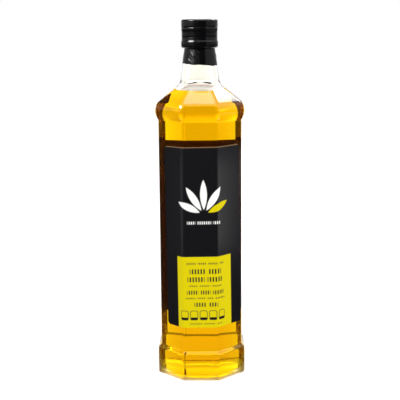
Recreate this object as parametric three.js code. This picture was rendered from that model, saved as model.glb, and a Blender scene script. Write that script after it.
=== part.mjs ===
// A bottle of olive oil: an eight-sided clear glass bottle with a recessed label panel, a rounded
// ring above the panel and a faceted shoulder that runs into a round neck. It is filled with oil,
// shut by a black screw cap with a shrunk-on neck sleeve, and carries a wrap label on its front and
// another on its back. Millimetres, +Z up, origin at the middle of the base, front towards -Y.

import * as THREE from 'three';
import { mergeVertices } from 'three/addons/utils/BufferGeometryUtils.js';

// Body of the bottle: widths are across the flats of the octagon
const FOOT_WIDTH = 74.4;
const PANEL_WIDTH = 69.2;
const CORNER_RADIUS = 3.5;
const FOOT_HEIGHT = 23.3;
const FOOT_BOTTOM_EDGE = 1.5;
const FOOT_TOP_EDGE = 2.4;
const RING_Z = 227.7;
const RING_ARC_RADIUS = 13.1;
const RING_TOP_DEGREES = 31;
const PUSH_UP_RADIUS = 25;
const PUSH_UP_HEIGHT = 0.8;

// Neck and mouth of the bottle
const NECK_FOOT_Z = 249.3;
const NECK_FOOT_RADIUS = 16.7;
const NECK_FILLET = 4;
const FINISH_Z = 277.7;
const FINISH_RADIUS = 12.4;
const MOUTH_Z = 300;
const LIP_EDGE = 1.2;

// Glass thickness
const WALL = 3.9;
const NECK_WALL = 3.2;
const BASE_THICKNESS = 3.5;
const INNER_CORNER_RADIUS = 4;
const INNER_BOTTOM_EDGE = 2.5;
const INNER_STEP_EASE = 2;

// Oil
const FILL_Z = 242.2;
const OIL_GAP = 0.4;

// Screw cap
const CAP_TOP_Z = 302.2;
const CAP_BOTTOM_Z = 278.5;
const CAP_RADIUS = 15;
const CAP_RIM_RADIUS = 15.3;
const CAP_BAND_RADIUS = 15.5;
const CAP_BAND_TOP_Z = 284.5;
const CAP_BEAD_Z = 294.2;
const CAP_BEAD_HALF = 1.6;
const CAP_GROOVE = 0.3;
const CAP_TOP_EDGE = 1.5;
const CAP_FOOT_EDGE = 2;
const CAP_BORE = 13.4;
const CAP_LINER_Z = 300.6;

// Neck sleeve
const SLEEVE_TOP_Z = 279.6;
const SLEEVE_BOTTOM_Z = 265.1;
const SLEEVE_BOTTOM_SWAY = 0.9;
const SLEEVE_GAP = 0.15;
const SLEEVE_THICKNESS = 0.35;

// Labels: centres and widths run along the panel's outline, from the middle of the face they are on
const LABEL_BOTTOM_Z = 46.7;
const LABEL_TOP_Z = 199.6;
const LABEL_GAP = 0.15;
const LABEL_THICKNESS = 0.25;
const LABEL_CORNER = 3;
const LABEL_TILT_DEGREES = 0.8;
const FRONT_LABEL_WIDTH = 75;
const FRONT_LABEL_CENTRE = 3.1;
const BACK_LABEL_WIDTH = 72;

// Steps of the faceted surfaces
const SIDES = 8;
const STEPS_PER_SIDE = 5;
const ROUND_STEPS = SIDES * STEPS_PER_SIDE;
const EDGE_STEPS = 3;
const RING_STEPS = 8;
const PUSH_UP_STEPS = 2;
const SHOULDER_STEPS = 4;
const SHOULDER_ROUNDING = 0.8;
const SLEEVE_ROWS = 4;
const MERGE_DISTANCE = 1e-4;

const SIDE_ANGLE = (2 * Math.PI) / SIDES;
const FLAT_RATIO = Math.tan(SIDE_ANGLE / 2);

// A level of a turned surface: half its width, its height, and 0 for an octagon to 1 for a circle
function level(radius, z, roundness = 0) {
  return { radius, z, roundness };
}

// Levels round an arc in the profile plane, with 0 degrees outwards and 90 degrees up
function arcLevels(centreRadius, centreZ, radius, fromDegrees, toDegrees, steps, roundness = 0) {
  return Array.from({ length: steps + 1 }, (_, step) => {
    const angle = THREE.MathUtils.degToRad(THREE.MathUtils.lerp(fromDegrees, toDegrees, step / steps));
    return level(centreRadius + radius * Math.cos(angle), centreZ + radius * Math.sin(angle), roundness);
  });
}

// Levels from the foot of the shoulder to the neck: straight facets that turn round near the neck
function shoulderLevels(foot, neckRadius, neckZ) {
  const bottom = new THREE.Vector2(foot.radius, foot.z);
  const neck = new THREE.Vector2(neckRadius, neckZ);
  const slope = neck.clone().sub(bottom).normalize();
  const filletStart = neck.clone().addScaledVector(slope, -NECK_FILLET);
  const taper = (NECK_FOOT_RADIUS - FINISH_RADIUS) / (FINISH_Z - NECK_FOOT_Z);
  const filletEnd = new THREE.Vector2(neckRadius - taper * NECK_FILLET, neckZ + NECK_FILLET);
  const facets = Array.from({ length: SHOULDER_STEPS }, (_, index) => {
    const along = (index + 1) / SHOULDER_STEPS;
    const point = bottom.clone().lerp(filletStart, along);
    return level(point.x, point.y, SHOULDER_ROUNDING * along ** 3);
  });
  const fillet = new THREE.QuadraticBezierCurve(filletStart, neck, filletEnd).getPoints(EDGE_STEPS);
  return [...facets, ...fillet.slice(1).map((point) => level(point.x, point.y, 1))];
}

// The rounded ring above the panel, an arc that starts where it leaves the panel's wall
function ringLevels(inset) {
  const centre = FOOT_WIDTH / 2 - RING_ARC_RADIUS;
  const radius = RING_ARC_RADIUS - inset;
  const start = THREE.MathUtils.radToDeg(Math.acos((PANEL_WIDTH / 2 - inset - centre) / radius));
  return arcLevels(centre, RING_Z, radius, -start, RING_TOP_DEGREES, RING_STEPS);
}

// The shallow hollow under the base, a parabola from its middle down to the standing rim
function pushUpLevels() {
  return Array.from({ length: PUSH_UP_STEPS + 1 }, (_, step) => {
    const out = step / PUSH_UP_STEPS;
    return level(PUSH_UP_RADIUS * out, PUSH_UP_HEIGHT * (1 - out ** 2), 1);
  });
}

// Outside of the glass, from the middle of the base up to the lip
function outerLevels() {
  const foot = FOOT_WIDTH / 2;
  const panel = PANEL_WIDTH / 2;
  const topEdgeZ = FOOT_HEIGHT - FOOT_TOP_EDGE * FLAT_RATIO;
  const ring = ringLevels(0);
  return [
    ...pushUpLevels(),
    ...arcLevels(foot - FOOT_BOTTOM_EDGE, FOOT_BOTTOM_EDGE, FOOT_BOTTOM_EDGE, -90, 0, EDGE_STEPS),
    ...arcLevels(foot - FOOT_TOP_EDGE, topEdgeZ, FOOT_TOP_EDGE, 0, 45, EDGE_STEPS),
    level(panel, FOOT_HEIGHT + foot - panel),
    ...ring,
    ...shoulderLevels(ring.at(-1), NECK_FOOT_RADIUS, NECK_FOOT_Z),
    level(FINISH_RADIUS, FINISH_Z, 1),
    ...arcLevels(FINISH_RADIUS - LIP_EDGE, MOUTH_Z - LIP_EDGE, LIP_EDGE, 0, 90, EDGE_STEPS, 1),
  ];
}

// Inside of the glass, from the middle of the bottom up to the start of the neck
function innerBodyLevels() {
  const foot = FOOT_WIDTH / 2 - WALL;
  const panel = PANEL_WIDTH / 2 - WALL;
  const bottomEdgeZ = BASE_THICKNESS + INNER_BOTTOM_EDGE;
  return [
    level(0, BASE_THICKNESS),
    ...arcLevels(foot - INNER_BOTTOM_EDGE, bottomEdgeZ, INNER_BOTTOM_EDGE, -90, 0, EDGE_STEPS),
    level(foot, FOOT_HEIGHT - INNER_STEP_EASE),
    level(panel, FOOT_HEIGHT + foot - panel + INNER_STEP_EASE),
    ...ringLevels(WALL),
  ];
}

// Inside of the shoulder, the glass's thickness below the outside
function innerShoulderLevels() {
  const ringTop = ringLevels(0).at(-1);
  const rise = (NECK_FOOT_Z - ringTop.z) / (ringTop.radius - NECK_FOOT_RADIUS);
  const neckZ = NECK_FOOT_Z + NECK_WALL * rise - WALL * Math.hypot(1, rise);
  return shoulderLevels(ringLevels(WALL).at(-1), NECK_FOOT_RADIUS - NECK_WALL, neckZ);
}

// Inside of the glass from the middle of the bottom up to the mouth
function innerLevels() {
  const bore = FINISH_RADIUS - NECK_WALL;
  return [
    ...innerBodyLevels(),
    ...innerShoulderLevels(),
    level(bore, FINISH_Z, 1),
    ...arcLevels(bore + LIP_EDGE, MOUTH_Z - LIP_EDGE, LIP_EDGE, 180, 90, EDGE_STEPS, 1),
  ];
}

// A point of the outline by its step: corner arcs of five points joined by flats, or a circle
function outlineStep(step, { radius, roundness }, cornerRadius) {
  const corner = Math.floor(step / STEPS_PER_SIDE);
  const place = (step % STEPS_PER_SIDE) / (STEPS_PER_SIDE - 1) - 0.5;
  const cornerAngle = (corner + 0.5) * SIDE_ANGLE;
  const rounding = Math.min(cornerRadius, radius);
  const reach = (radius - rounding) / Math.cos(SIDE_ANGLE / 2);
  const arcAngle = cornerAngle + place * SIDE_ANGLE;
  const circleAngle = cornerAngle + (place * SIDE_ANGLE * (STEPS_PER_SIDE - 1)) / STEPS_PER_SIDE;
  const octagon = new THREE.Vector2(
    reach * Math.sin(cornerAngle) + rounding * Math.sin(arcAngle),
    reach * Math.cos(cornerAngle) + rounding * Math.cos(arcAngle),
  );
  const circle = new THREE.Vector2(radius * Math.sin(circleAngle), radius * Math.cos(circleAngle));
  return octagon.lerp(circle, roundness);
}

// Position-only geometry with its shared vertices merged and Z up
function standUp(geometry) {
  geometry.deleteAttribute('normal');
  geometry.deleteAttribute('uv');
  return mergeVertices(geometry.rotateX(Math.PI / 2), MERGE_DISTANCE);
}

// A turned surface whose levels are pressed from circles into octagons with rounded corners
function pressedLathe(levels, cornerRadiusOf) {
  const profile = levels.map(({ radius, z }) => new THREE.Vector2(radius, z));
  const geometry = new THREE.LatheGeometry(profile, ROUND_STEPS);
  const position = geometry.attributes.position;
  for (let step = 0; step <= ROUND_STEPS; step += 1) {
    levels.forEach((each, index) => {
      const point = outlineStep(step % ROUND_STEPS, each, cornerRadiusOf(index));
      position.setXYZ(step * levels.length + index, point.x, each.z, point.y);
    });
  }
  return standUp(geometry);
}

// The glass: up the outside, over the lip and down the inside to the middle of the bottom
function glassGeometry() {
  const outer = outerLevels();
  const inner = innerLevels().reverse();
  const levels = [...outer, ...inner.slice(1)];
  return pressedLathe(levels, (index) => (index < outer.length ? CORNER_RADIUS : INNER_CORNER_RADIUS));
}

// The oil: the inside of the glass less a thin gap, cut off level at the fill line
function oilGeometry() {
  const shoulder = innerShoulderLevels();
  const above = shoulder.findIndex(({ z }) => z > FILL_Z);
  const below = shoulder[above - 1];
  const along = (FILL_Z - below.z) / (shoulder[above].z - below.z);
  const fill = level(
    THREE.MathUtils.lerp(below.radius, shoulder[above].radius, along),
    FILL_Z,
    THREE.MathUtils.lerp(below.roundness, shoulder[above].roundness, along),
  );
  const wetted = [...innerBodyLevels(), ...shoulder.slice(0, above), fill];
  const bottomZ = BASE_THICKNESS + OIL_GAP;
  const levels = wetted.map(({ radius, z, roundness }) => (
    level(Math.max(radius - OIL_GAP, 0), Math.max(z, bottomZ), roundness)
  ));
  levels.push(level(0, FILL_Z));
  return pressedLathe(levels, () => INNER_CORNER_RADIUS);
}

// The cap: a shell with a plain skirt, a bead below its rim and a wider tear band at its foot
function capGeometry() {
  const rimBottom = CAP_BEAD_Z + CAP_BEAD_HALF;
  const beadBottom = CAP_BEAD_Z - CAP_BEAD_HALF;
  const topEdge = CAP_RIM_RADIUS - CAP_TOP_EDGE;
  const footEdge = CAP_BAND_RADIUS - CAP_FOOT_EDGE;
  const levels = [
    level(0, CAP_LINER_Z),
    level(CAP_BORE, CAP_LINER_Z),
    level(CAP_BORE, CAP_BOTTOM_Z),
    ...arcLevels(footEdge, CAP_BOTTOM_Z + CAP_FOOT_EDGE, CAP_FOOT_EDGE, -90, 0, EDGE_STEPS),
    level(CAP_BAND_RADIUS, CAP_BAND_TOP_Z - CAP_GROOVE),
    level(CAP_RADIUS, CAP_BAND_TOP_Z + CAP_GROOVE),
    level(CAP_RADIUS, beadBottom - CAP_GROOVE),
    level(CAP_RADIUS - CAP_GROOVE, beadBottom),
    level(CAP_RIM_RADIUS, beadBottom + CAP_GROOVE),
    level(CAP_RIM_RADIUS, rimBottom - CAP_GROOVE),
    level(CAP_RIM_RADIUS - CAP_GROOVE, rimBottom),
    level(CAP_RIM_RADIUS, rimBottom + CAP_GROOVE),
    ...arcLevels(topEdge, CAP_TOP_Z - CAP_TOP_EDGE, CAP_TOP_EDGE, 0, 90, EDGE_STEPS),
    level(0, CAP_TOP_Z),
  ];
  const profile = levels.map(({ radius, z }) => new THREE.Vector2(radius, z));
  return standUp(new THREE.LatheGeometry(profile, ROUND_STEPS));
}

// The sleeve: a thin skin that follows the neck's taper, with a lower edge that sags to the right
function sleeveGeometry() {
  const taper = (NECK_FOOT_RADIUS - FINISH_RADIUS) / (FINISH_Z - NECK_FOOT_Z);
  const neckRadius = (z) => FINISH_RADIUS + taper * Math.max(FINISH_Z - z, 0);
  const rows = Array.from({ length: SLEEVE_ROWS + 1 }, (_, row) => row / SLEEVE_ROWS);
  const inner = rows.map((height) => new THREE.Vector2(SLEEVE_GAP, 1 - height));
  const outer = rows.map((height) => new THREE.Vector2(SLEEVE_GAP + SLEEVE_THICKNESS, height));
  const profile = [...outer, ...inner, outer[0]];
  const geometry = new THREE.LatheGeometry(profile, ROUND_STEPS);
  const position = geometry.attributes.position;
  for (let step = 0; step <= ROUND_STEPS; step += 1) {
    const angle = ((step % ROUND_STEPS) / ROUND_STEPS) * 2 * Math.PI;
    const bottom = SLEEVE_BOTTOM_Z - SLEEVE_BOTTOM_SWAY * Math.sin(angle);
    profile.forEach(({ x: lift, y: height }, index) => {
      const z = THREE.MathUtils.lerp(bottom, SLEEVE_TOP_Z, height);
      const radius = neckRadius(z) + lift;
      position.setXYZ(step * profile.length + index, radius * Math.sin(angle), z, radius * Math.cos(angle));
    });
  }
  return standUp(geometry);
}

// A point at a distance along the panel's outline from the middle of the front, lifted off the glass
function panelPoint(along, lift, z) {
  const inradius = PANEL_WIDTH / 2;
  const flat = 2 * (inradius - CORNER_RADIUS) * FLAT_RATIO;
  const period = flat + CORNER_RADIUS * SIDE_ANGLE;
  const side = Math.floor((along + flat / 2) / period);
  const rest = along + flat / 2 - side * period;
  const turn = Math.max(rest - flat, 0) / CORNER_RADIUS;
  const facing = side * SIDE_ANGLE;
  const across = Math.min(rest, flat) - flat / 2;
  const point = new THREE.Vector2(across, inradius - CORNER_RADIUS);
  point.rotateAround(new THREE.Vector2(), -facing);
  const outward = new THREE.Vector2(Math.sin(facing + turn), Math.cos(facing + turn));
  point.addScaledVector(outward, CORNER_RADIUS + lift);
  return new THREE.Vector3(point.x, -point.y, z);
}

// Stations across a label: its ends, its rounded corners and the bends round the bottle's corners
function labelStations(centre, width) {
  const flat = 2 * (PANEL_WIDTH / 2 - CORNER_RADIUS) * FLAT_RATIO;
  const arc = CORNER_RADIUS * SIDE_ANGLE;
  const bendStarts = [-1.5 * flat - 2 * arc, -0.5 * flat - arc, 0.5 * flat, 1.5 * flat + arc];
  const bends = bendStarts.flatMap((start) => (
    Array.from({ length: STEPS_PER_SIDE }, (_, step) => start + (arc * step) / (STEPS_PER_SIDE - 1))
  ));
  const insets = Array.from({ length: EDGE_STEPS + 1 }, (_, step) => (
    LABEL_CORNER * (1 - Math.cos((step / EDGE_STEPS) * (Math.PI / 2)))
  ));
  const ends = insets.flatMap((inset) => [centre - width / 2 + inset, centre + width / 2 - inset]);
  const inside = bends.filter((bend) => Math.abs(bend - centre) < width / 2 - 1.5 * LABEL_CORNER);
  return [...ends, ...inside].sort((one, other) => one - other);
}

// A label: a thin sheet with rounded corners bent round the panel, set a little askew
function labelGeometry(centre, width, facing, tiltDegrees) {
  const stations = labelStations(centre, width);
  const columns = stations.length - 1;
  const tilt = Math.tan(THREE.MathUtils.degToRad(tiltDegrees));
  const middleZ = (LABEL_BOTTOM_Z + LABEL_TOP_Z) / 2;
  const halfHeight = (LABEL_TOP_Z - LABEL_BOTTOM_Z) / 2;
  const geometry = new THREE.BoxGeometry(columns, 2, 1, columns, 1, 1);
  const position = geometry.attributes.position;
  for (let index = 0; index < position.count; index += 1) {
    const station = stations[Math.round(position.getX(index) + columns / 2)];
    const fromEnd = width / 2 - Math.abs(station - centre);
    const shortfall = Math.max(LABEL_CORNER - fromEnd, 0);
    const cut = LABEL_CORNER - Math.sqrt(LABEL_CORNER ** 2 - shortfall ** 2);
    const upDown = Math.sign(position.getY(index)) * (halfHeight - cut);
    const onEndFace = fromEnd <= LABEL_CORNER + 1e-6;
    const along = station - (onEndFace ? upDown * tilt : 0);
    const lift = LABEL_GAP + (position.getZ(index) > 0 ? LABEL_THICKNESS : 0);
    const point = panelPoint(along, lift, middleZ + upDown + (station - centre) * tilt);
    position.setXYZ(index, point.x, point.y, point.z);
  }
  geometry.rotateZ(facing);
  geometry.deleteAttribute('normal');
  geometry.deleteAttribute('uv');
  return mergeVertices(geometry, MERGE_DISTANCE);
}

// One sub-part of the bottle: its name, geometry and finish
function piece(name, geometry, finish) {
  const mesh = new THREE.Mesh(geometry, new THREE.MeshStandardMaterial(finish));
  mesh.name = name;
  return mesh;
}

const clearGlass = { color: '#eef0e6', roughness: 0.03, metalness: 0, transparent: true, opacity: 0.35 };
const goldenOil = { color: '#e8ad0c', roughness: 0.05, metalness: 0 };
const blackPlastic = { color: '#141316', roughness: 0.3, metalness: 0 };
const blackFilm = { color: '#101012', roughness: 0.35, metalness: 0 };
const blackPaper = { color: '#16161a', roughness: 0.4, metalness: 0 };

const frontLabel = labelGeometry(FRONT_LABEL_CENTRE, FRONT_LABEL_WIDTH, 0, LABEL_TILT_DEGREES);
const backLabel = labelGeometry(0, BACK_LABEL_WIDTH, Math.PI, 0);

const bottle = new THREE.Group();
bottle.add(
  piece('glass_bottle', glassGeometry(), clearGlass),
  piece('olive_oil', oilGeometry(), goldenOil),
  piece('screw_cap', capGeometry(), blackPlastic),
  piece('neck_sleeve', sleeveGeometry(), blackFilm),
  piece('front_label', frontLabel, blackPaper),
  piece('back_label', backLabel, blackPaper),
);

export default bottle;
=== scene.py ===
"""Looks of a bottle of olive oil: pressed clear glass, golden oil, black cap, neck sleeve and labels.

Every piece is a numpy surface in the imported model's frame (metres, +Z up, front towards -Y) and
replaces the solid of the same name. Sizes are in millimetres until a mesh is made.
"""

import logging
import math
from dataclasses import dataclass, field
from enum import Enum, IntEnum

import bpy
import numpy as np
from mathutils import Matrix, Vector


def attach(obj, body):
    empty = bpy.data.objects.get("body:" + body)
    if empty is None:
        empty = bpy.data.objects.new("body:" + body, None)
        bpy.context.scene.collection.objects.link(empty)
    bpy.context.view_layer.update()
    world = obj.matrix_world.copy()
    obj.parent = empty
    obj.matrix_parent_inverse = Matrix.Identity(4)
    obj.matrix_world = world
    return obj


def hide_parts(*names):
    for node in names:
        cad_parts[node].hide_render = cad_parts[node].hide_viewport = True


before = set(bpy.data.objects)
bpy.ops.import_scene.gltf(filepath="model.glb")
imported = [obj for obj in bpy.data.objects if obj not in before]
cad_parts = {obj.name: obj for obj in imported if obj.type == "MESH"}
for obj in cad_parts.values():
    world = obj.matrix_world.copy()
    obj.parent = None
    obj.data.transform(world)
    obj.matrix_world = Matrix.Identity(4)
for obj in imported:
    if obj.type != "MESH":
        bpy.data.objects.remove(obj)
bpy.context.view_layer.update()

LOG = logging.getLogger("olive_oil_bottle")
METRES = 0.001
SIDES = 8
SIDE_ANGLE = 2.0 * math.pi / SIDES


# Small tools for materials and meshes

def linear(hex_colour: str) -> tuple[float, float, float, float]:
    """Turns an sRGB hex colour into linear RGBA.

    Args:
        hex_colour: Six hex digits, such as "E8AD0C".

    Returns:
        The linear red, green and blue, with an alpha of 1.
    """
    shares = [int(hex_colour[start:start + 2], 16) / 255.0 for start in (0, 2, 4)]
    channels = [
        share / 12.92 if share <= 0.04045 else ((share + 0.055) / 1.055) ** 2.4
        for share in shares
    ]
    return (channels[0], channels[1], channels[2], 1.0)


def add_node(
    tree: bpy.types.NodeTree, kind: str, inputs: dict[str | int, object] | None = None, **settings: object
) -> bpy.types.Node:
    """Adds a node, sets its properties, and sets or links its inputs.

    Args:
        tree: Node tree that gets the node.
        kind: Blender's class name of the node.
        inputs: Input names or places, each with a constant or with the output socket to link.
        settings: Properties of the node.

    Returns:
        The new node.
    """
    node = tree.nodes.new(kind)
    for name, value in settings.items():
        setattr(node, name, value)
    for name, value in (inputs or {}).items():
        if isinstance(value, bpy.types.NodeSocket):
            tree.links.new(value, node.inputs[name])
        else:
            node.inputs[name].default_value = value
    return node


def start_material(name: str) -> tuple[bpy.types.Material, bpy.types.NodeTree, bpy.types.Node]:
    """Starts an empty node material.

    Args:
        name: Name of the material.

    Returns:
        The material, its node tree and its output node.
    """
    material = bpy.data.materials.new(name)
    material.use_nodes = True
    material.node_tree.nodes.clear()
    output = add_node(material.node_tree, "ShaderNodeOutputMaterial")
    return material, material.node_tree, output


def surface_grain(tree: bpy.types.NodeTree, size_mm: float, detail: float) -> bpy.types.NodeSocket:
    """Adds noise on Object coordinates, which are in metres.

    Args:
        tree: Node tree that gets the noise.
        size_mm: Size of its features.
        detail: Number of finer layers.

    Returns:
        The noise's value.
    """
    place = add_node(tree, "ShaderNodeTexCoord")
    noise = add_node(tree, "ShaderNodeTexNoise", {
        "Vector": place.outputs["Object"], "Scale": 1.0 / (size_mm * METRES), "Detail": detail,
    })
    return noise.outputs["Fac"]


def low_relief(
    tree: bpy.types.NodeTree, grain: bpy.types.NodeSocket, height_mm: float
) -> bpy.types.NodeSocket:
    """Adds a bump that follows the grain.

    Args:
        tree: Node tree that gets the bump.
        grain: Value that it follows.
        height_mm: Its height.

    Returns:
        The bumped normal.
    """
    bump = add_node(tree, "ShaderNodeBump", {
        "Height": grain, "Strength": 1.0, "Distance": height_mm * METRES,
    })
    return bump.outputs["Normal"]


def uneven_gloss(
    tree: bpy.types.NodeTree, grain: bpy.types.NodeSocket, roughness: float, spread: float
) -> bpy.types.NodeSocket:
    """Adds a roughness that follows the grain.

    Args:
        tree: Node tree that gets the roughness.
        grain: Value that it follows.
        roughness: Its middle.
        spread: Share of the middle by which it varies either way.

    Returns:
        The roughness.
    """
    gloss = add_node(tree, "ShaderNodeMapRange", {
        "Value": grain, "To Min": (1.0 - spread) * roughness, "To Max": (1.0 + spread) * roughness,
    })
    return gloss.outputs["Result"]


def mesh_object(
    name: str, points: np.ndarray, faces: list[list[int]], materials: list[bpy.types.Material],
    slots: np.ndarray | None = None,
) -> bpy.types.Object:
    """Makes a smooth-shaded object at the origin from points in millimetres.

    Args:
        name: Name of the object.
        points: Array of points, one row each, in millimetres.
        faces: Point numbers of each face.
        materials: Materials of the object.
        slots: Material place of each face; the first material if left out.

    Returns:
        The new object, linked to the scene.
    """
    mesh = bpy.data.meshes.new(name)
    mesh.from_pydata((points * METRES).tolist(), [], faces)
    mesh.polygons.foreach_set("use_smooth", np.ones(len(faces), dtype=bool))
    for material in materials:
        mesh.materials.append(material)
    if slots is not None:
        mesh.polygons.foreach_set("material_index", slots.astype(np.int32))
    mesh.update()
    made = bpy.data.objects.new(name, mesh)
    bpy.context.scene.collection.objects.link(made)
    return made


def stand_for(piece: bpy.types.Object, node: str) -> bpy.types.Object:
    """Lets a piece ride on the bottle and take the place of a solid.

    Args:
        piece: Finished piece.
        node: Solid that it replaces.

    Returns:
        The same piece.
    """
    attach(piece, "root")
    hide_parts(node)
    return piece


# Profiles and surfaces

def arc(
    centre_radius: float, centre_z: float, radius: float, start: float, stop: float, steps: int = 24
) -> np.ndarray:
    """Points round an arc in the profile plane.

    Args:
        centre_radius: Distance of the arc's centre from the axis.
        centre_z: Height of the arc's centre.
        radius: Radius of the arc.
        start: First angle in degrees, 0 outwards and 90 upwards.
        stop: Last angle in degrees.
        steps: Number of steps.

    Returns:
        Array of radius and height, one row for each point.
    """
    angle = np.radians(np.linspace(start, stop, steps + 1))
    return np.column_stack((centre_radius + radius * np.cos(angle), centre_z + radius * np.sin(angle)))


def levels(
    points: np.ndarray | list[tuple[float, float]], roundness: float | np.ndarray = 0.0
) -> np.ndarray:
    """Adds the roundness of the outline, 0 for an octagon to 1 for a circle, to profile points.

    Args:
        points: Rows of radius and height.
        roundness: One value for all points, or one for each.

    Returns:
        Rows of radius, height and roundness.
    """
    rows = np.asarray(points, dtype=float).reshape(-1, 2)
    return np.column_stack((rows, np.broadcast_to(roundness, len(rows))))


@dataclass(frozen=True)
class StationRule:
    """How the stations of a profile are eased and spread.

    Attributes:
        easing: Standard deviation of the bell curve that rounds every crease, in mm.
        length_step: Longest distance between stations on a straight, in mm.
        bend_step: Largest bend between stations, in degrees.
        fine_step: Step of the even reading before the easing, in mm.
        fewest_readings: Least number of even readings.
        shortest: Steps that are shorter count as none, in mm.
        bell_reach: Where the bell curve is cut off, in standard deviations.
        turning_pace: How many times closer the stations lie where the roundness changes.
    """

    easing: float = 0.4
    length_step: float = 6.0
    bend_step: float = 4.0
    fine_step: float = 0.1
    fewest_readings: int = 8
    shortest: float = 1e-6
    bell_reach: float = 3.0
    turning_pace: float = 3.0

    def spread(self, profile: np.ndarray) -> np.ndarray:
        """Rounds a profile's creases and spreads its stations.

        The profile is read at even steps of its length and averaged with a bell curve. It is then
        read again at even steps of a sum, length over length_step plus bend over bend_step, so
        that curves get more stations than straights. Both end points stay where they are.

        Args:
            profile: Rows of radius, height and roundness.

        Returns:
            The eased rows.
        """
        step = np.hypot(*np.diff(profile[:, :2], axis=0).T)
        kept = np.concatenate(([True], step > self.shortest))
        length = np.concatenate(([0.0], np.cumsum(step)))[kept]
        even = np.linspace(0.0, length[-1], max(int(length[-1] / self.fine_step), self.fewest_readings))
        fine = np.column_stack([np.interp(even, length, column) for column in profile[kept].T])
        reach = max(int(self.bell_reach * self.easing / self.fine_step), 1)
        bell = np.exp(-0.5 * (np.arange(-reach, reach + 1) * self.fine_step / self.easing) ** 2)
        padded = np.pad(fine, ((reach, reach), (0, 0)), mode="reflect", reflect_type="odd")
        eased = np.column_stack([np.convolve(column, bell / bell.sum(), "valid") for column in padded.T])
        heading = np.unwrap(np.arctan2(np.gradient(eased[:, 1]), np.gradient(eased[:, 0])))
        bend = np.degrees(np.abs(np.gradient(heading)))
        closer = np.where(np.gradient(eased[:, 2]) ** 2 > 0.0, self.turning_pace, 1.0)
        pace = (even[1] - even[0]) / self.length_step * closer + bend / self.bend_step
        count = np.concatenate(([0.0], np.cumsum(0.5 * (pace[1:] + pace[:-1]))))
        wanted = np.linspace(0.0, count[-1], int(math.ceil(count[-1])) + 1)
        return np.column_stack([np.interp(wanted, count, column) for column in eased.T])


def moved_out(profile: np.ndarray, distance: float) -> np.ndarray:
    """Moves a profile that runs upwards away from its axis, along its own normal in the profile plane.

    Args:
        profile: Rows of radius, height and roundness.
        distance: Distance outwards, in mm.

    Returns:
        The moved rows, none of them across the axis.
    """
    tangent = np.gradient(profile[:, :2], axis=0)
    tangent /= np.linalg.norm(tangent, axis=1, keepdims=True)
    moved = profile.copy()
    moved[:, 0] = np.maximum(profile[:, 0] + distance * tangent[:, 1], 0.0)
    moved[:, 1] -= distance * tangent[:, 0]
    moved[profile[:, 0] == 0.0, 0] = 0.0
    return moved


@dataclass(frozen=True)
class Outline:
    """Eight-sided outline with rounded corners that can turn into a circle.

    Attributes:
        corner_radius: Radius of the corners, in mm.
        arc_steps: Steps round each corner.
        flat_shares: Places of the stations on each flat, close together at its ends so that the
            flat stays flat under smooth shading.
        arc_share: Share of the circle that the corners' stations take where the outline is round.
    """

    corner_radius: float
    arc_steps: int = 8
    flat_shares: tuple[float, ...] = (0.015, 0.06, 0.25, 0.5, 0.75, 0.94, 0.985)
    arc_share: float = 0.8

    def rings(self, profile: np.ndarray) -> np.ndarray:
        """Carries a profile round the outline.

        A corner point is the corner's centre plus the corner radius along the arc's angle, a flat
        point lies between the ends of two arcs, and both move towards the circle of the same
        radius by the roundness of their level.

        Args:
            profile: Rows of radius, height and roundness.

        Returns:
            Points as rows, columns and coordinates, anticlockwise from the front seen from above.
        """
        radius = profile[:, 0][:, None, None]
        roundness = profile[:, 2][:, None, None, None]
        corner = ((np.arange(SIDES) + 0.5) * SIDE_ANGLE)[None, :, None]
        place = np.linspace(-0.5, 0.5, self.arc_steps + 1)[None, None, :]
        rounding = np.minimum(self.corner_radius, radius)
        reach = (radius - rounding) / math.cos(SIDE_ANGLE / 2.0)
        turn = corner + place * SIDE_ANGLE
        bends = np.stack((
            reach * np.sin(corner) + rounding * np.sin(turn),
            -reach * np.cos(corner) - rounding * np.cos(turn),
        ), axis=-1)
        share = np.array(self.flat_shares)[None, None, :, None]
        ends = bends[:, :, -1:, :]
        starts = np.roll(bends[:, :, :1, :], -1, axis=1)
        octagon = np.concatenate((bends, ends + share * (starts - ends)), axis=2)
        flat_turn = corner + SIDE_ANGLE * (0.5 * self.arc_share + (1.0 - self.arc_share) * share[..., 0])
        circle_turn = np.concatenate((corner + place * SIDE_ANGLE * self.arc_share, flat_turn), axis=2)
        circle = radius[..., None] * np.stack((np.sin(circle_turn), -np.cos(circle_turn)), axis=-1)
        flat_rings = (octagon + roundness * (circle - octagon)).reshape(len(profile), -1, 2)
        heights = np.broadcast_to(profile[:, 1][:, None, None], (*flat_rings.shape[:2], 1))
        return np.concatenate((flat_rings, heights), axis=-1)


def turned_rings(profile: np.ndarray, columns: int) -> np.ndarray:
    """Carries a profile round a circle: each point turns about the axis by even angles from the front.

    Args:
        profile: Rows that start with radius and height.
        columns: Number of columns round the circle.

    Returns:
        Points as rows, columns and coordinates, anticlockwise seen from above.
    """
    angle = np.arange(columns) * (2.0 * math.pi / columns)
    radius = profile[:, 0][:, None]
    heights = np.broadcast_to(profile[:, 1][:, None], (len(profile), columns))
    return np.stack((radius * np.sin(angle), -radius * np.cos(angle), heights), axis=-1)


def skin(rows: int, columns: int, close_rows: bool = False, close_columns: bool = True) -> np.ndarray:
    """Joins a grid of points into four-sided faces.

    Args:
        rows: Rows of the grid.
        columns: Columns of the grid.
        close_rows: Whether the last row joins the first.
        close_columns: Whether the last column joins the first.

    Returns:
        Four point numbers for each face, row by row.
    """
    row = np.arange(rows if close_rows else rows - 1)[:, None]
    column = np.arange(columns if close_columns else columns - 1)[None, :]
    next_row = (row + 1) % rows * columns
    next_column = (column + 1) % columns
    here = row * columns
    corners = (here + column, here + next_column, next_row + next_column, next_row + column)
    return np.stack(corners, axis=-1).reshape(-1, 4)


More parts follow.
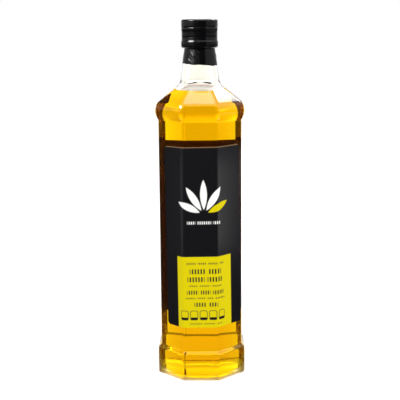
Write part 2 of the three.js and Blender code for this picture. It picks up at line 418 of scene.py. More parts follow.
def closed_turning(rings: np.ndarray) -> tuple[np.ndarray, list[list[int]]]:
    """Joins rings whose first and last lie on the axis into one closed body.

    Args:
        rings: Points as rows, columns and coordinates.

    Returns:
        The points, with one point for each pole at the end, and the faces: the rows between the
        poles first, then the two fans.
    """
    inner = rings[1:-1]
    rows, columns = inner.shape[:2]
    poles = rings[[0, -1], 0, :]
    points = np.concatenate((inner.reshape(-1, 3), poles))
    column = np.arange(columns)
    following = (column + 1) % columns
    low_pole = np.full(columns, rows * columns)
    top_row = (rows - 1) * columns
    low_fan = np.stack((low_pole, following, column), axis=-1)
    high_fan = np.stack((top_row + column, top_row + following, low_pole + 1), axis=-1)
    return points, skin(rows, columns).tolist() + low_fan.tolist() + high_fan.tolist()


# Finishes

@dataclass(frozen=True)
class BottleGlass:
    """Pressed soda-lime glass: colourless, fire-polished and slightly uneven, so the view wavers."""

    ior: float = 1.52
    wave_mm: float = 26.0
    wave_detail: float = 1.0
    wave_height_mm: float = 0.012
    stipple_roughness: float = 0.45
    tint: str = "FFFEF6"

    def material(self, name: str, ior: float, roughness: float = 0.0) -> bpy.types.Material:
        """Clear glass for a surface between two media.

        Args:
            name: Name of the material.
            ior: Index of the inside over that of the outside.
            roughness: Roughness of the surface, 0 where it is fire-polished.

        Returns:
            The material.
        """
        material, tree, output = start_material(name)
        wave = surface_grain(tree, self.wave_mm, self.wave_detail)
        glass = add_node(tree, "ShaderNodeBsdfPrincipled", {
            "Base Color": linear(self.tint), "Roughness": roughness, "IOR": ior,
            "Transmission Weight": 1.0, "Normal": low_relief(tree, wave, self.wave_height_mm),
        })
        tree.links.new(glass.outputs["BSDF"], output.inputs["Surface"])
        return material


@dataclass(frozen=True)
class GoldenOil:
    """Filtered olive oil: clear, golden in a thin layer and amber in a thick one."""

    ior: float = 1.47
    absorption: tuple[float, float, float] = (2.8, 14.0, 130.0)

    def material(self, name: str, ior: float) -> bpy.types.Material:
        """Oil that swallows blue quickly, green slowly and red hardly at all.

        Args:
            name: Name of the material.
            ior: Index of the oil over that of what it touches.

        Returns:
            The material.
        """
        material, tree, output = start_material(name)
        surface = add_node(tree, "ShaderNodeBsdfPrincipled", {
            "Base Color": linear("FFFFFF"), "Roughness": 0.0, "IOR": ior, "Transmission Weight": 1.0,
        })
        density = max(self.absorption)
        kept = [1.0 - share / density for share in self.absorption]
        volume = add_node(tree, "ShaderNodeVolumeAbsorption", {"Color": (*kept, 1.0), "Density": density})
        tree.links.new(surface.outputs["BSDF"], output.inputs["Surface"])
        tree.links.new(volume.outputs["Volume"], output.inputs["Volume"])
        return material


@dataclass(frozen=True)
class BlackGloss:
    """Black lacquer or film: a deep black body under a clear skin with a faint orange peel.

    Attributes:
        name: Name of the material.
        colour: Body colour, sRGB hex.
        roughness: Mean roughness of the skin.
        grain_mm: Size of the orange peel.
        grain_height_mm: Height of the orange peel.
        grain_detail: Finer layers of the orange peel.
        gloss_spread: Share by which the roughness varies.
        ior: Index of the skin.
    """

    name: str
    colour: str
    roughness: float
    grain_mm: float
    grain_height_mm: float
    grain_detail: float = 3.0
    gloss_spread: float = 0.2
    ior: float = 1.5

    def material(self) -> bpy.types.Material:
        """Black skin whose gloss varies a little from place to place.

        Returns:
            The material.
        """
        material, tree, output = start_material(self.name)
        grain = surface_grain(tree, self.grain_mm, self.grain_detail)
        body = add_node(tree, "ShaderNodeBsdfPrincipled", {
            "Base Color": linear(self.colour), "IOR": self.ior,
            "Roughness": uneven_gloss(tree, grain, self.roughness, self.gloss_spread),
            "Normal": low_relief(tree, grain, self.grain_height_mm),
        })
        tree.links.new(body.outputs["BSDF"], output.inputs["Surface"])
        return material


@dataclass(frozen=True)
class PrintedPaper:
    """Coated label paper: satin black and matt bright inks, with a trace of the paper's fibre."""

    roughness: float = 0.3
    gloss_spread: float = 0.15
    gloss_dark: float = 0.5
    gloss_bright: float = 0.05
    bright_ink: float = 0.4
    ior: float = 1.5
    fibre_mm: float = 0.9
    fibre_detail: float = 4.0
    fibre_height_mm: float = 0.006
    edge_colour: str = "B9A077"
    edge_pale: str = "E4D6B8"
    edge_roughness: float = 0.8

    def material(self, name: str, ink: str) -> bpy.types.Material:
        """Printed face that takes its colour from the label's own ink attribute.

        Args:
            name: Name of the material.
            ink: Name of the colour attribute.

        Returns:
            The material.
        """
        material, tree, output = start_material(name)
        fibre = surface_grain(tree, self.fibre_mm, self.fibre_detail)
        colour = add_node(tree, "ShaderNodeAttribute", attribute_name=ink)
        varnish = add_node(tree, "ShaderNodeMapRange", {
            "Value": colour.outputs["Fac"], "From Max": self.bright_ink,
            "To Min": self.gloss_dark, "To Max": self.gloss_bright,
        })
        face = add_node(tree, "ShaderNodeBsdfPrincipled", {
            "Base Color": colour.outputs["Color"], "IOR": self.ior,
            "Roughness": uneven_gloss(tree, fibre, self.roughness, self.gloss_spread),
            "Specular IOR Level": varnish.outputs["Result"],
            "Normal": low_relief(tree, fibre, self.fibre_height_mm),
        })
        tree.links.new(face.outputs["BSDF"], output.inputs["Surface"])
        return material

    def edge_material(self, name: str) -> bpy.types.Material:
        """Bare paper at the cut edge.

        Args:
            name: Name of the material.

        Returns:
            The material.
        """
        material, tree, output = start_material(name)
        fibre = surface_grain(tree, self.fibre_mm, self.fibre_detail)
        tone = add_node(tree, "ShaderNodeMix", {
            "Factor": fibre, "A": linear(self.edge_colour), "B": linear(self.edge_pale),
        }, data_type="RGBA")
        face = add_node(tree, "ShaderNodeBsdfPrincipled", {
            "Base Color": tone.outputs["Result"], "Roughness": self.edge_roughness,
        })
        tree.links.new(face.outputs["BSDF"], output.inputs["Surface"])
        return material


# The bottle's form, shared by the glass, the oil, the sleeve and the labels

@dataclass(frozen=True)
class BottleForm:
    """Sizes of the glass in millimetres: widths are across the flats of the octagon."""

    foot_width: float = 74.4
    panel_width: float = 69.2
    corner_radius: float = 3.5
    foot_height: float = 23.3
    foot_bottom_edge: float = 1.5
    foot_top_edge: float = 2.4
    ring_z: float = 227.7
    ring_arc_radius: float = 13.1
    ring_top_degrees: float = 31.0
    ring_roundness: float = 0.14
    push_up_radius: float = 25.0
    push_up_height: float = 0.8
    neck_foot_z: float = 249.3
    neck_foot_radius: float = 16.7
    neck_fillet: float = 4.0
    finish_z: float = 277.7
    finish_radius: float = 12.4
    mouth_z: float = 300.0
    lip_edge: float = 1.2
    wall: float = 3.9
    neck_wall: float = 3.2
    base_thickness: float = 3.5
    inner_corner_radius: float = 4.0
    inner_bottom_edge: float = 2.5
    inner_step_ease: float = 2.0
    fill_z: float = 242.2
    meniscus: float = 0.4
    facet_top_roundness: float = 0.8
    shoulder_points: int = 41
    hollow_points: int = 13
    outer_rule: StationRule = StationRule(easing=0.4)
    inner_rule: StationRule = StationRule(easing=1.1)

    @property
    def taper(self) -> float:
        """Radius that the neck loses in each millimetre of height."""
        return (self.neck_foot_radius - self.finish_radius) / (self.finish_z - self.neck_foot_z)

    def neck_radius(self, z: np.ndarray) -> np.ndarray:
        """Outer radius of the neck at a height: a straight taper, then a plain cylinder."""
        return self.finish_radius + self.taper * np.maximum(self.finish_z - z, 0.0)

    def ring(self, inset: float) -> np.ndarray:
        """Rounded ring above the panel, an arc that starts where it leaves the panel's wall.

        Args:
            inset: Distance inwards from the outside of the glass.

        Returns:
            Rows of radius and height.
        """
        centre = self.foot_width / 2.0 - self.ring_arc_radius
        radius = self.ring_arc_radius - inset
        start = math.degrees(math.acos((self.panel_width / 2.0 - inset - centre) / radius))
        return arc(centre, self.ring_z, radius, -start, self.ring_top_degrees)

    def ring_levels(self, inset: float) -> np.ndarray:
        """Ring whose corners soften as a smooth step from the panel up to its widest level.

        Args:
            inset: Distance inwards from the outside of the glass.

        Returns:
            Rows of radius, height and roundness.
        """
        rows = self.ring(inset)
        share = np.clip((rows[:, 1] - rows[0, 1]) / (self.ring_z - rows[0, 1]), 0.0, 1.0)
        return levels(rows, self.ring_roundness * share ** 2 * (3.0 - 2.0 * share))

    def shoulder(self, foot: np.ndarray, neck_radius: float, neck_z: float) -> np.ndarray:
        """Straight facets that turn round near the neck, then a curve into the neck's taper.

        Up the facets the ring's roundness fades evenly, while the facets' own grows with the
        third power of the way. The curve is the parabola that touches the facet and the taper at
        the fillet's distance from their meeting. In its first third it turns quite round.

        Args:
            foot: Radius and height where the facets start.
            neck_radius: Radius where facets and taper would meet.
            neck_z: Height where facets and taper would meet.

        Returns:
            Rows of radius, height and roundness.
        """
        neck = np.array((neck_radius, neck_z))
        slope = (neck - foot) / np.linalg.norm(neck - foot)
        start = neck - self.neck_fillet * slope
        stop = neck + self.neck_fillet * np.array((-self.taper, 1.0))
        along = np.linspace(0.0, 1.0, self.shoulder_points)[:, None]
        facets = foot + along * (start - foot)
        curve = (1.0 - along) ** 2 * start + 2.0 * along * (1.0 - along) * neck + along ** 2 * stop
        most = self.facet_top_roundness
        way_up = along[:, 0]
        turning = most * way_up ** 3 + self.ring_roundness * (1.0 - way_up)
        rounding = most + (1.0 - most) * np.minimum(3.0 * way_up, 1.0)
        return np.concatenate((levels(facets, turning), levels(curve, rounding)))

    def outer_profile(self) -> np.ndarray:
        """Outside of the glass, from the middle of the base up to the lip.

        The base is a shallow parabola, and the foot slopes back to the panel at half a right angle.

        Returns:
            Rows of radius, height and roundness.
        """
        foot = self.foot_width / 2.0
        panel = self.panel_width / 2.0
        low_edge = self.foot_bottom_edge
        top_edge = self.foot_top_edge
        lip_edge = self.lip_edge
        out = np.linspace(0.0, 1.0, self.hollow_points)
        hollow = np.column_stack((self.push_up_radius * out, self.push_up_height * (1.0 - out ** 2)))
        top_edge_z = self.foot_height - top_edge * math.tan(SIDE_ANGLE / 2.0)
        ring = self.ring_levels(0.0)
        lip = arc(self.finish_radius - lip_edge, self.mouth_z - lip_edge, lip_edge, 0.0, 90.0)
        return np.concatenate((
            levels(hollow, 1.0),
            levels(arc(foot - low_edge, low_edge, low_edge, -90.0, 0.0)),
            levels(arc(foot - top_edge, top_edge_z, top_edge, 0.0, 45.0)),
            levels([(panel, self.foot_height + foot - panel)]),
            ring,
            self.shoulder(ring[-1, :2], self.neck_foot_radius, self.neck_foot_z),
            levels([(self.finish_radius, self.finish_z)], 1.0),
            levels(lip, 1.0),
        ))

    def inner_profile(self) -> np.ndarray:
        """Inside of the glass, from the middle of the bottom up to the lip.

        Returns:
            Rows of radius, height and roundness.
        """
        foot = self.foot_width / 2.0 - self.wall
        panel = self.panel_width / 2.0 - self.wall
        edge = self.inner_bottom_edge
        bore = self.finish_radius - self.neck_wall
        ring_top = self.ring(0.0)[-1]
        rise = (self.neck_foot_z - ring_top[1]) / (ring_top[0] - self.neck_foot_radius)
        neck_z = self.neck_foot_z + self.neck_wall * rise - self.wall * math.hypot(1.0, rise)
        ring = self.ring_levels(self.wall)
        lip = arc(bore + self.lip_edge, self.mouth_z - self.lip_edge, self.lip_edge, 180.0, 90.0)
        return np.concatenate((
            levels([(0.0, self.base_thickness)]),
            levels(arc(foot - edge, self.base_thickness + edge, edge, -90.0, 0.0)),
            levels([(foot, self.foot_height - self.inner_step_ease)]),
            levels([(panel, self.foot_height + foot - panel + self.inner_step_ease)]),
            ring,
            self.shoulder(ring[-1, :2], self.neck_foot_radius - self.neck_wall, neck_z),
            levels([(bore, self.finish_z)], 1.0),
            levels(lip, 1.0),
        ))

    def inner_parts(self) -> tuple[np.ndarray, np.ndarray]:
        """Splits the inside where the oil's raised rim touches the glass.

        Returns:
            Eased rows of the wetted part, upwards, and of the dry part above it.
        """
        contact_z = self.fill_z + self.meniscus
        eased = self.inner_rule.spread(self.inner_profile())
        above = int(np.argmax(eased[:, 1] > contact_z))
        share = (contact_z - eased[above - 1, 1]) / (eased[above, 1] - eased[above - 1, 1])
        rim = eased[above - 1] + share * (eased[above] - eased[above - 1])
        return np.vstack((eased[:above], rim)), np.vstack((rim, eased[above:]))


# Sub-assemblies

class GlassFace(IntEnum):
    """Material places of the glass."""

    DRY = 0
    WETTED = 1
    STIPPLED = 2


class OilFace(IntEnum):
    """Material places of the oil."""

    WALL = 0
    SURFACE = 1


class PaperFace(IntEnum):
    """Material places of a label."""

    SHEET = 0
    EDGE = 1


@dataclass
class GlassBottle:
    """Hollow glass bottle whose wetted inside has the index step from glass to oil.

    Attributes:
        form: Sizes of the glass.
        rim_depth: Height up to which the standing rim is stippled.
        finish: Look of the glass.
        oil: What the glass is filled with.
    """

    form: BottleForm
    rim_depth: float = 0.1
    finish: BottleGlass = field(default_factory=BottleGlass)
    oil: GoldenOil = field(default_factory=GoldenOil)

    def build(self) -> bpy.types.Object:
        """Up the outside, over the lip and down the inside to the middle of the bottom.

        Returns:
            The glass, standing for its solid.
        """
        outer = self.form.outer_rule.spread(self.form.outer_profile())
        wetted, dry = self.form.inner_parts()
        outside = Outline(self.form.corner_radius).rings(outer)
        inside = Outline(self.form.inner_corner_radius).rings(np.vstack((wetted, dry[1:]))[::-1])
        points, faces = closed_turning(np.concatenate((outside, inside[1:])))
        columns = outside.shape[1]
        rows_to_rim = len(outer) + len(dry) - 3
        slots = np.full(len(faces), GlassFace.DRY)
        slots[rows_to_rim * columns:] = GlassFace.WETTED
        slots[-2 * columns:-columns] = GlassFace.DRY
        on_floor = (outer[1:-1, 1] < self.rim_depth) & (outer[1:-1, 0] > self.form.push_up_radius)
        foot_slots = np.where(on_floor, GlassFace.STIPPLED, GlassFace.DRY)
        slots[:len(on_floor) * columns] = np.repeat(foot_slots, columns)
        glass = self.finish
        materials = [
            glass.material("soda_lime_glass", glass.ior),
            glass.material("soda_lime_glass_wetted", glass.ior / self.oil.ior),
            glass.material("soda_lime_glass_stippled", glass.ior, glass.stipple_roughness),
        ]
        made = mesh_object("glass_bottle_shell", points, faces, materials, slots)
        return stand_for(made, "glass_bottle")


@dataclass
class OilFill:
    """Oil up to the shoulder: its wall lies just inside the glass and its top has a raised rim."""

    form: BottleForm
    finish: GoldenOil = field(default_factory=GoldenOil)
    reach_into_wall: float = 0.12
    rim_width: float = 1.2
    top_rows: int = 24

    def build(self) -> bpy.types.Object:
        """Carries the wetted inside of the glass round, then closes it with the liquid's surface.

        The surface lies level and rises towards the wall as exp(-distance / rim_width). Its rows lie
        closest at the wall.

        Returns:
            The oil, standing for its solid.
        """
        wetted, _ = self.form.inner_parts()
        wall = moved_out(wetted, self.reach_into_wall)
        share = 1.0 - np.linspace(0.0, 1.0, self.top_rows + 1)[1:] ** 2.0
        edge_radius = wall[-1, 0]
        distance = edge_radius * (1.0 - share)
        heights = wall[-1, 1] - self.form.meniscus * (1.0 - np.exp(-distance / self.rim_width))
        top = np.column_stack((edge_radius * share, heights, np.full(self.top_rows, wall[-1, 2])))
        rings = Outline(self.form.inner_corner_radius).rings(np.vstack((wall, top)))
        points, faces = closed_turning(rings)
        columns = rings.shape[1]
        slots = np.full(len(faces), OilFace.WALL)
        slots[(len(wall) - 2) * columns:-2 * columns] = OilFace.SURFACE
        slots[-columns:] = OilFace.SURFACE
        materials = [
            self.finish.material("olive_oil_on_glass", 1.0),
            self.finish.material("olive_oil_surface", self.finish.ior),
        ]
        made = mesh_object("olive_oil_fill", points, faces, materials, slots)
        return stand_for(made, "olive_oil")


@dataclass
class ScrewCap:
    """Lacquered screw cap with a bead below its rim and a wider tear band at its foot."""

    top_z: float = 302.2
    bottom_z: float = 278.5
    radius: float = 15.0
    rim_radius: float = 15.3
    band_radius: float = 15.5
    band_top_z: float = 284.5
    bead_z: float = 294.2
    bead_half: float = 1.6
    bead_arc_radius: float = 4.6
    ledge_half: float = 0.7
    groove: float = 0.3
    groove_z: float = 287.4
    groove_depth: float = 0.15
    top_edge: float = 1.5
    foot_edge: float = 2.0
    bore: float = 13.4
    liner_z: float = 300.6
    columns: int = 128
    rule: StationRule = StationRule(easing=0.18, length_step=3.0, bend_step=8.0, fine_step=0.05)
    finish: BlackGloss = BlackGloss("black_lacquer", "060608", 0.2, 1.2, 0.004)

    def profile(self) -> np.ndarray:
        """Half section: from the middle of the liner down the bore, then up the outside to the top.

        Returns:
            Rows of radius, height and roundness.
        """
        rim_bottom = self.bead_z + self.bead_half
        bead_bottom = self.bead_z - self.bead_half
        bead_centre = self.rim_radius - self.bead_arc_radius
        bead_degrees = math.degrees(math.asin(self.bead_half / self.bead_arc_radius))
        foot_centre = self.band_radius - self.foot_edge
        top_centre = self.rim_radius - self.top_edge
        return np.concatenate((
            levels([(0.0, self.liner_z), (self.bore, self.liner_z), (self.bore, self.bottom_z)]),
            levels(arc(foot_centre, self.bottom_z + self.foot_edge, self.foot_edge, -90.0, 0.0)),
            levels([
                (self.band_radius, self.band_top_z - self.ledge_half),
                (self.radius, self.band_top_z + self.ledge_half),
                (self.radius, self.groove_z - self.groove),
                (self.radius - self.groove_depth, self.groove_z),
                (self.radius, self.groove_z + self.groove),
                (self.radius, bead_bottom - self.groove),
            ]),
            levels(arc(bead_centre, self.bead_z, self.bead_arc_radius, -bead_degrees, bead_degrees)),
            levels([(self.rim_radius, rim_bottom + self.groove)]),
            levels(arc(top_centre, self.top_z - self.top_edge, self.top_edge, 0.0, 90.0)),
            levels([(0.0, self.top_z)]),
        ))

    def build(self) -> bpy.types.Object:
        """Turns the half section about the axis.

        Returns:
            The cap, standing for its solid.
        """
        rings = turned_rings(self.rule.spread(self.profile()), self.columns)
        points, faces = closed_turning(rings)
        made = mesh_object("screw_cap_shell", points, faces, [self.finish.material()])
        return stand_for(made, "screw_cap")


@dataclass(frozen=True)
class Fold:
    """One wrinkle of the sleeve, in millimetres along and up the unrolled film.

    Attributes:
        along: Place of its middle, from the front towards the right.
        z: Height of its middle.
        degrees: Its direction, anticlockwise from level.
        length: Its length.
        width: Its width.
        height: How far it stands out.
    """

    along: float
    z: float
    degrees: float
    length: float
    width: float
    height: float

    def relief(self, along: np.ndarray, z: np.ndarray, round_trip: np.ndarray) -> np.ndarray:
        """Height of the wrinkle over the film: a bell curve across it and a wider one along it.

        Args:
            along: Distances round the neck from the front.
            z: Heights.
            round_trip: Length of the way round the neck.

        Returns:
            Heights, shaped as the places.
        """
        across = (along - self.along + round_trip / 2.0) % round_trip - round_trip / 2.0
        turn = math.radians(self.degrees)
        lengthwise = across * math.cos(turn) + (z - self.z) * math.sin(turn)
        sideways = (z - self.z) * math.cos(turn) - across * math.sin(turn)
        return self.height * np.exp(-(sideways / self.width) ** 2 - (2.0 * lengthwise / self.length) ** 2)


@dataclass
class NeckSleeve:
    """Shrunk black film round the neck, with slanting wrinkles and an uneven lower edge.

    Attributes:
        form: Sizes of the glass.
        top_z: Height of its upper edge, inside the cap.
        bottom_z: Mean height of its lower edge.
        bottom_sway: How far the lower edge dips to one side.
        edge_waver: Size of the lower edge's waver.
        wavers: Share, number round the neck and phase of each wave of the waver.
        gap: Distance of the film's inside from the glass.
        skin_lift: Distance of its outside from the glass.
        rim_share: Share of the film's thickness that is left at its edges.
        rim_rows: Rows over which the film thins towards its edges.
        columns: Columns round the neck.
        outer_rows: Rows up the outside.
        inner_rows: Rows down the inside.
        front_folds: Wrinkles that show at the front.
        wrinkle_seed: Start of the random draws.
        wrinkle_count: Number of wrinkles round the rest.
        wrinkle_span: First and last of their places along the film.
        wrinkle_stray: How far a place strays.
        wrinkle_margins: How far they keep from the lower and the upper edge.
        wrinkle_degrees: Range of their directions.
        wrinkle_heights: Range of how far they stand out.
        wrinkle_size: Their length and width.
        finish: Look of the film.
    """

    form: BottleForm
    top_z: float = 279.6
    bottom_z: float = 265.1
    bottom_sway: float = 0.9
    edge_waver: float = 0.18
    wavers: tuple[tuple[float, float, float], ...] = ((1.0, 5.0, 0.6), (0.6, 11.0, 2.0))
    gap: float = 0.04
    skin_lift: float = 0.5
    rim_share: float = 0.6
    rim_rows: float = 2.0
    columns: int = 256
    outer_rows: int = 48
    inner_rows: int = 6
    front_folds: tuple[Fold, ...] = (
        Fold(-10.0, 269.7, -40.0, 6.5, 0.45, 0.15),
        Fold(-5.0, 272.0, -57.0, 8.5, 0.5, 0.14),
        Fold(-12.6, 273.2, -30.0, 6.0, 0.7, 0.07),
        Fold(9.5, 275.0, -25.0, 6.0, 0.9, 0.08),
    )
    wrinkle_seed: int = 7
    wrinkle_count: int = 14
    wrinkle_span: tuple[float, float] = (14.0, 68.0)
    wrinkle_stray: float = 1.5
    wrinkle_margins: tuple[float, float] = (2.5, 3.0)
    wrinkle_degrees: tuple[float, float] = (-65.0, -25.0)
    wrinkle_heights: tuple[float, float] = (0.1, 0.3)
    wrinkle_size: tuple[float, float] = (6.5, 0.6)
    finish: BlackGloss = BlackGloss("black_shrink_film", "040406", 0.22, 2.0, 0.01)

    def folds(self) -> list[Fold]:
        """Wrinkles of the front, and others at random places round the rest.

        Returns:
            All the wrinkles.
        """
        draw = np.random.default_rng(self.wrinkle_seed)
        count = self.wrinkle_count
        low, high = self.wrinkle_margins
        alongs = np.linspace(*self.wrinkle_span, count)
        alongs = alongs + draw.uniform(-self.wrinkle_stray, self.wrinkle_stray, count)
        heights = draw.uniform(self.bottom_z + low, self.top_z - high, count)
        turns = draw.uniform(*self.wrinkle_degrees, count)
        reliefs = draw.uniform(*self.wrinkle_heights, count)
        others = [
            Fold(along, z, turn, *self.wrinkle_size, relief)
            for along, z, turn, relief in zip(alongs, heights, turns, reliefs)
        ]
        return [*self.front_folds, *others]

    def build(self) -> bpy.types.Object:
        """Carries a thin loop, up the outside and down the inside, round the neck.

        The lower edge sways with the sine of the angle and wavers a little; the outside is the
        neck's taper plus the film's lift and the relief of every wrinkle.

        Returns:
            The sleeve, standing for its solid.
        """
        angle = np.arange(self.columns)[None, :] * (2.0 * math.pi / self.columns)
        waves = sum(share * np.sin(number * angle + phase) for share, number, phase in self.wavers)
        bottom = self.bottom_z - self.bottom_sway * np.sin(angle) + self.edge_waver * waves
        up = np.linspace(0.0, 1.0, self.outer_rows)[:, None]
        down = np.linspace(1.0, 0.0, self.inner_rows)[:, None]
        outer_z = bottom + up * (self.top_z - bottom)
        inner_z = bottom + down * (self.top_z - bottom)
        neck = self.form.neck_radius(outer_z)
        round_trip = 2.0 * math.pi * neck
        relief = sum(fold.relief(angle * neck, outer_z, round_trip) for fold in self.folds())
        rim = np.minimum(np.minimum(up, 1.0 - up) * self.outer_rows / self.rim_rows, 1.0)
        thickness = (self.skin_lift - self.gap) * (self.rim_share + (1.0 - self.rim_share) * rim)
        outer_radius = neck + self.gap + thickness + relief * rim
        radius = np.vstack((outer_radius, self.form.neck_radius(inner_z) + self.gap))
        height = np.vstack((outer_z, inner_z))
        points = np.stack((radius * np.sin(angle), -radius * np.cos(angle), height), axis=-1)
        faces = skin(*points.shape[:2], close_rows=True).tolist()
        made = mesh_object("neck_sleeve_film", points.reshape(-1, 3), faces, [self.finish.material()])
        return stand_for(made, "neck_sleeve")


class Side(Enum):
    """Face of the bottle that carries a label, as its number of eighth turns from the front."""

    FRONT = 0
    BACK = 4


@dataclass(frozen=True)
class LabelArt:
    """Print of the labels: fields of colour and plain shapes on black.

    Places run from the label's own middle to the right and from its lower edge upwards, in mm.

    Attributes:
        black: Ground of both labels, sRGB hex.
        lime: Field of colour.
        white: Pale ink.
        top_band: Light brown band printed along the upper edge of the front label.
        top_band_height: Height of that band.
        softness: Width over which the edge of a shape fades.
        seed: Start of the random lengths of words.
        word_strokes: Strokes that an average word has room for.
        word_stray: Share by which the length of a word varies.
        leaves: Lean and length of each leaf of the fan.
        leaf_width: Greatest width of a leaf.
        fan_middle: Where the leaves point from.
        fan_hollow: Distance of a leaf's foot from there.
        field_middle: Middle of the front's field of colour.
        field_size: Width and height of that field.
        print_rows: Height above the edge, width, height and pitch of each row of print on the field.
        badges: Number of badges under those rows.
        badge_step: Distance from badge to badge.
        first_badge: Middle of the badge at the left.
    """

    black: str = "0F0F13"
    lime: str = "D2C200"
    white: str = "F4F3EE"
    top_band: str = "8C6A45"
    top_band_height: float = 0.45
    softness: float = 0.4
    seed: int = 11
    word_strokes: float = 6.0
    word_stray: float = 0.3
    leaves: tuple[tuple[float, float], ...] = (
        (-64.0, 20.0), (-32.0, 23.0), (0.0, 25.0), (32.0, 23.0), (64.0, 20.0),
    )
    leaf_width: float = 5.6
    fan_middle: tuple[float, float] = (0.4, 97.0)
    fan_hollow: float = 4.0
    field_middle: tuple[float, float] = (0.8, 29.6)
    field_size: tuple[float, float] = (49.75, 63.2)
    print_rows: tuple[tuple[float, float, float, float], ...] = (
        (55.4, 34.0, 1.6, 1.6), (48.6, 29.0, 4.2, 2.4), (41.8, 33.0, 4.2, 2.4), (36.2, 30.0, 1.2, 1.6),
        (30.6, 34.0, 3.4, 2.0), (25.6, 36.0, 1.2, 1.6), (20.0, 22.0, 3.6, 2.2),
    )
    badges: int = 5
    badge_step: float = 8.0
    first_badge: tuple[float, float] = (-17.6, 10.8)

    def cover(self, distance: np.ndarray) -> np.ndarray:
        """Share of ink at a signed distance from a shape's edge, negative inside."""
        return np.clip(0.5 - distance / self.softness, 0.0, 1.0)

    def box(self, s: np.ndarray, t: np.ndarray, middle: tuple[float, float], size: tuple[float, float],
            corner: float = 0.3) -> np.ndarray:
        """Ink of a rounded rectangle, from the distance to its core grown by the corner radius.

        Args:
            s: Places across.
            t: Places up.
            middle: Middle of the rectangle.
            size: Width and height.
            corner: Radius of its corners.

        Returns:
            Share of ink at each place.
        """
        across = np.abs(s - middle[0]) - size[0] / 2.0 + corner
        up = np.abs(t - middle[1]) - size[1] / 2.0 + corner
        outside = np.hypot(np.maximum(across, 0.0), np.maximum(up, 0.0))
        return self.cover(outside + np.minimum(np.maximum(across, up), 0.0) - corner)

    def leaf(self, s: np.ndarray, t: np.ndarray, foot: tuple[float, float], degrees: float, length: float,
             width: float) -> np.ndarray:
        """Ink of a pointed leaf: what two equal discs have in common.

        Args:
            s: Places across.
            t: Places up.
            foot: Where the leaf starts.
            degrees: Its lean to the right from upright.
            length: Its length.
            width: Its greatest width.

        Returns:
            Share of ink at each place.
        """
        lean = math.radians(degrees)
        along = (s - foot[0]) * math.sin(lean) + (t - foot[1]) * math.cos(lean) - length / 2.0
        across = (s - foot[0]) * math.cos(lean) - (t - foot[1]) * math.sin(lean)
        radius = (length ** 2 + width ** 2) / (4.0 * width)
        shift = radius - width / 2.0
        return self.cover(np.hypot(np.abs(across) + shift, along) - radius)

    def words(self, s: np.ndarray, t: np.ndarray, middle: tuple[float, float], size: tuple[float, float],
              pitch: float, seed: int) -> np.ndarray:
        """Ink of a row of upright strokes, parted into words, that stands for a line of print.

        A stroke fills half of every pitch. The words are boxes of random length round the strokes.

        Args:
            s: Places across.
            t: Places up.
            middle: Middle of the row.
            size: Width and height of the row.
            pitch: Distance from stroke to stroke.
            seed: Start of the random lengths.

        Returns:
            Share of ink at each place.
        """
        corner = 0.2
        count = max(int(round(size[0] / (self.word_strokes * pitch))), 1)
        draw = np.random.default_rng(self.seed + seed)
        share = draw.uniform(1.0 - self.word_stray, 1.0 + self.word_stray, count)
        parting = np.concatenate(([0.0], np.cumsum(share) / share.sum()))
        ends = parting * size[0] + middle[0] - size[0] / 2.0
        blocks = [
            self.box(s, t, ((start + stop) / 2.0, middle[1]), (stop - start - pitch, size[1]), corner)
            for start, stop in zip(ends[:-1], ends[1:])
        ]
        stroke = np.abs((s - ends[0]) % pitch - pitch / 2.0) - pitch / 4.0
        return np.max(blocks, axis=0) * self.cover(stroke)

    def badge(self, s: np.ndarray, t: np.ndarray, middle: tuple[float, float]) -> np.ndarray:
        """Ink of a small rounded frame with a filled foot.

        Args:
            s: Places across.
            t: Places up.
            middle: Middle of the frame.

        Returns:
            Share of ink at each place.
        """
        outside = self.box(s, t, middle, (6.6, 8.4), 1.8)
        hole = self.box(s, t, middle, (5.6, 7.4), 1.4)
        foot = self.box(s, t, (middle[0], middle[1] - 3.0), (6.2, 2.4), 1.0)
        return np.maximum(outside - hole, foot)

    def back_layers(self, s: np.ndarray, t: np.ndarray) -> list[tuple[str, np.ndarray]]:
        """Inks of the back label in the order they are printed: rows of print over a ruled table.

        Args:
            s: Places across.
            t: Places up.

        Returns:
            Hex colours, each with its share of ink.
        """
        pitch = 1.7
        text_size = (48.0, 1.8)
        text_seed = 40
        entry_size = (24.0, 2.0)
        entry_seed = 60
        entry_left = -9.0
        text_heights = 132.0 - 5.0 * np.arange(10)
        rule_heights = 66.0 - 6.0 * np.arange(8)
        entry_heights = (rule_heights[:-1] + rule_heights[1:]) / 2.0
        text = [
            (self.white, self.words(s, t, (0.0, up), text_size, pitch, text_seed + place))
            for place, up in enumerate(text_heights)
        ]
        table = (self.lime, self.box(s, t, (0.0, 44.0), (50.0, 58.0), 1.0))
        rules = [(self.black, self.box(s, t, (0.0, up), (44.0, 0.6), 0.2)) for up in rule_heights]
        entries = [
            (self.black, self.words(s, t, (entry_left, up), entry_size, pitch, entry_seed + place))
            for place, up in enumerate(entry_heights)
        ]
        return [*text, table, *rules, *entries]

